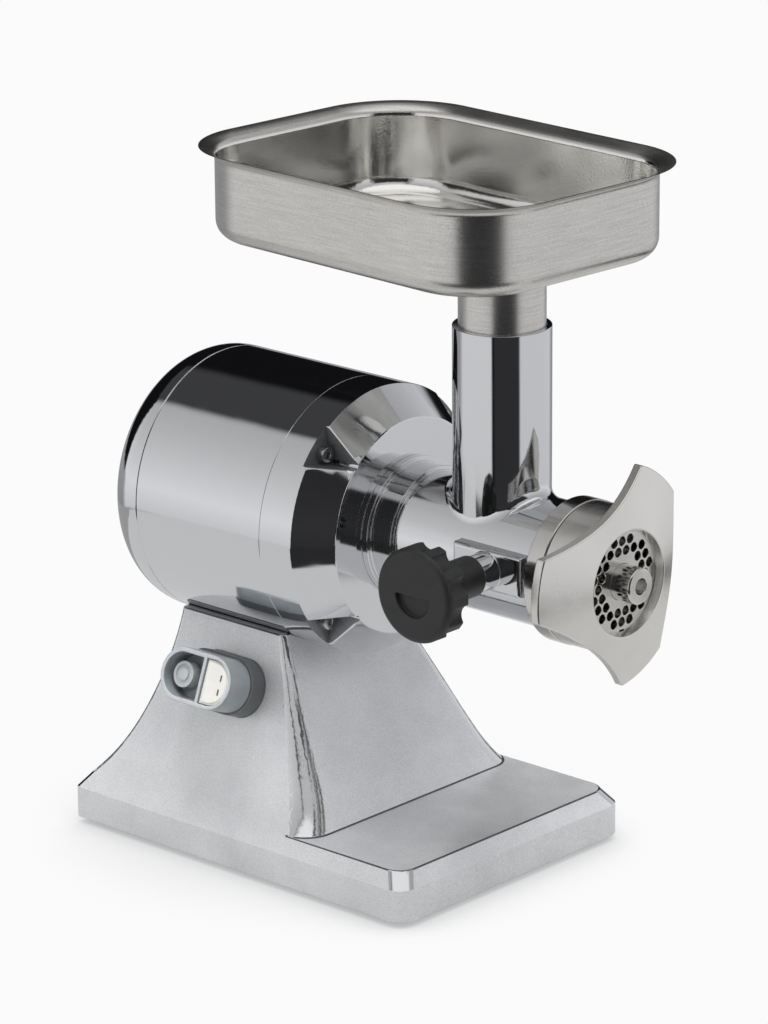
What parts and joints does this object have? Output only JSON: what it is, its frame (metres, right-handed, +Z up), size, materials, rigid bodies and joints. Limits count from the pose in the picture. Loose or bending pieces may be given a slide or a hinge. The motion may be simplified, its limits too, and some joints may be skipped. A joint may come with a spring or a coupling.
{
  "type": "electric meat grinder",
  "caption": "Countertop electric meat grinder: cast pedestal, round motor housing, feed neck with a deep tray, mincing head with winged ring nut, clamp knob and push-button switch.",
  "frame": {"origin": "floor level under the middle of the whole machine's footprint", "axes": "+Z up, -Y towards the outlet, -X towards the clamp knob and the switch"},
  "size_m": [0.223, 0.3902, 0.467],
  "materials": {
    "satin_cast_alloy": "satin",
    "polished_cast_alloy": "mirror polished",
    "stainless": "polished",
    "stainless_sheet": "brushed",
    "plated_steel": "plated",
    "gear_steel": "ground",
    "bearing_steel": "ground",
    "lamination_steel": "stacked sheet",
    "copper_winding": "varnished wire",
    "sheet_plate": "matt paint",
    "black_plastic": "fine grain",
    "dark_plastic": "satin",
    "grey_plastic": "gloss",
    "cream_plastic": "gloss",
    "pale_plastic": "satin",
    "black_rubber": "matt"
  },
  "bodies": {
    "housing": {"pedestal_base": "satin_cast_alloy", "bottom_plate": "sheet_plate", "bottom_plate_screws": "plated_steel", "rubber_feet": "black_rubber", "foot_screws": "plated_steel", "cable_gland": "black_plastic", "gland_nut": "black_plastic", "motor_barrel": "polished_cast_alloy", "motor_bolts": "plated_steel", "rear_cap": "polished_cast_alloy", "rear_cap_screws": "plated_steel", "bearing_shield": "satin_cast_alloy", "front_bearing": "bearing_steel", "rear_bearing": "bearing_steel", "stator_core": "lamination_steel", "stator_windings": "copper_winding", "idler_bearings": "bearing_steel", "output_bearings": "bearing_steel", "oil_seal": "black_rubber", "gearbox_cover": "polished_cast_alloy", "cover_screws": "plated_steel", "head_housing": "polished_cast_alloy", "head_screws": "plated_steel", "switch_bezel": "dark_plastic", "switch_hood": "grey_plastic", "contact_block": "dark_plastic", "start_capacitor": "sheet_plate", "capacitor_clamp": "plated_steel", "terminal_block": "pale_plastic"},
    "rotor": {"rotor_core": "lamination_steel", "rotor_shaft": "gear_steel", "cooling_fan": "black_plastic", "motor_pinion": "gear_steel"},
    "idler": {"idler_shaft": "gear_steel", "first_gear": "gear_steel"},
    "drive": {"output_gear": "gear_steel", "output_shaft": "gear_steel"},
    "mincing_unit": {"mincing_sleeve": "stainless", "plate_pin": "stainless"},
    "feed_screw": {"auger": "stainless", "knife": "stainless"},
    "plate": {"hole_plate": "stainless"},
    "nut": {"ring_nut": "stainless"},
    "pad": {"clamp_pad": "plated_steel"},
    "knob": {"clamp_knob": "black_plastic", "clamp_stem": "plated_steel"},
    "feed_tray": {"tray": "stainless_sheet", "tray_spout": "stainless_sheet"},
    "start_push": {"start_button": "cream_plastic"},
    "stop_push": {"stop_button": "pale_plastic"}
  },
  "joints": [
    {"name": "rotor_spin", "type": "hinge", "parent": "housing", "child": "rotor", "pos_m": [0, 0.1, 0.221], "axis": [0, 1, 0], "continuous": true},
    {"name": "idler_spin", "type": "hinge", "parent": "housing", "child": "idler", "pos_m": [0, 0.03, 0.179], "axis": [0, 1, 0], "continuous": true},
    {"name": "drive_spin", "type": "hinge", "parent": "housing", "child": "drive", "pos_m": [0, 0, 0.221], "axis": [0, 1, 0], "continuous": true},
    {"name": "mincing_unit_slide", "type": "slide", "parent": "housing", "child": "mincing_unit", "axis": [0, -1, 0], "range_m": [0, 0.11]},
    {"name": "feed_screw_spin", "type": "hinge", "parent": "mincing_unit", "child": "feed_screw", "pos_m": [0, -0.1, 0.221], "axis": [0, 1, 0], "continuous": true},
    {"name": "plate_slide", "type": "slide", "parent": "mincing_unit", "child": "plate", "axis": [0, -1, 0], "range_m": [0, 0.024]},
    {"name": "nut_turn", "type": "hinge", "parent": "plate", "child": "nut", "pos_m": [0, -0.17, 0.221], "axis": [0, -1, 0], "range_deg": [0, 2160]},
    {"name": "pad_slide", "type": "slide", "parent": "housing", "child": "pad", "axis": [-1, 0, 0], "range_m": [0, 0.004]},
    {"name": "knob_turn", "type": "hinge", "parent": "pad", "child": "knob", "pos_m": [-0.08, -0.1085, 0.2245], "axis": [-1, 0, 0], "range_deg": [0, 720]},
    {"name": "tray_lift", "type": "slide", "parent": "housing", "child": "feed_tray", "axis": [0, 0, 1], "range_m": [0, 0.06]},
    {"name": "start_press", "type": "slide", "parent": "housing", "child": "start_push", "axis": [0.9343, 0, -0.3566], "range_m": [0, 0.003], "stiffness_N_per_m": 600, "springref_m": -0.002},
    {"name": "stop_press", "type": "slide", "parent": "housing", "child": "stop_push", "axis": [0.9343, 0, -0.3566], "range_m": [0, 0.003], "stiffness_N_per_m": 600, "springref_m": -0.002}
  ],
  "couplings": [
    {"joint": "idler_spin", "follows": "rotor_spin", "ratio": -0.33333},
    {"joint": "drive_spin", "follows": "rotor_spin", "ratio": 0.11111},
    {"joint": "feed_screw_spin", "follows": "rotor_spin", "ratio": 0.11111},
    {"joint": "plate_slide", "follows": "nut_turn", "m_per_rad": 0.00063662},
    {"joint": "pad_slide", "follows": "knob_turn", "m_per_rad": 0.00031831}
  ]
}
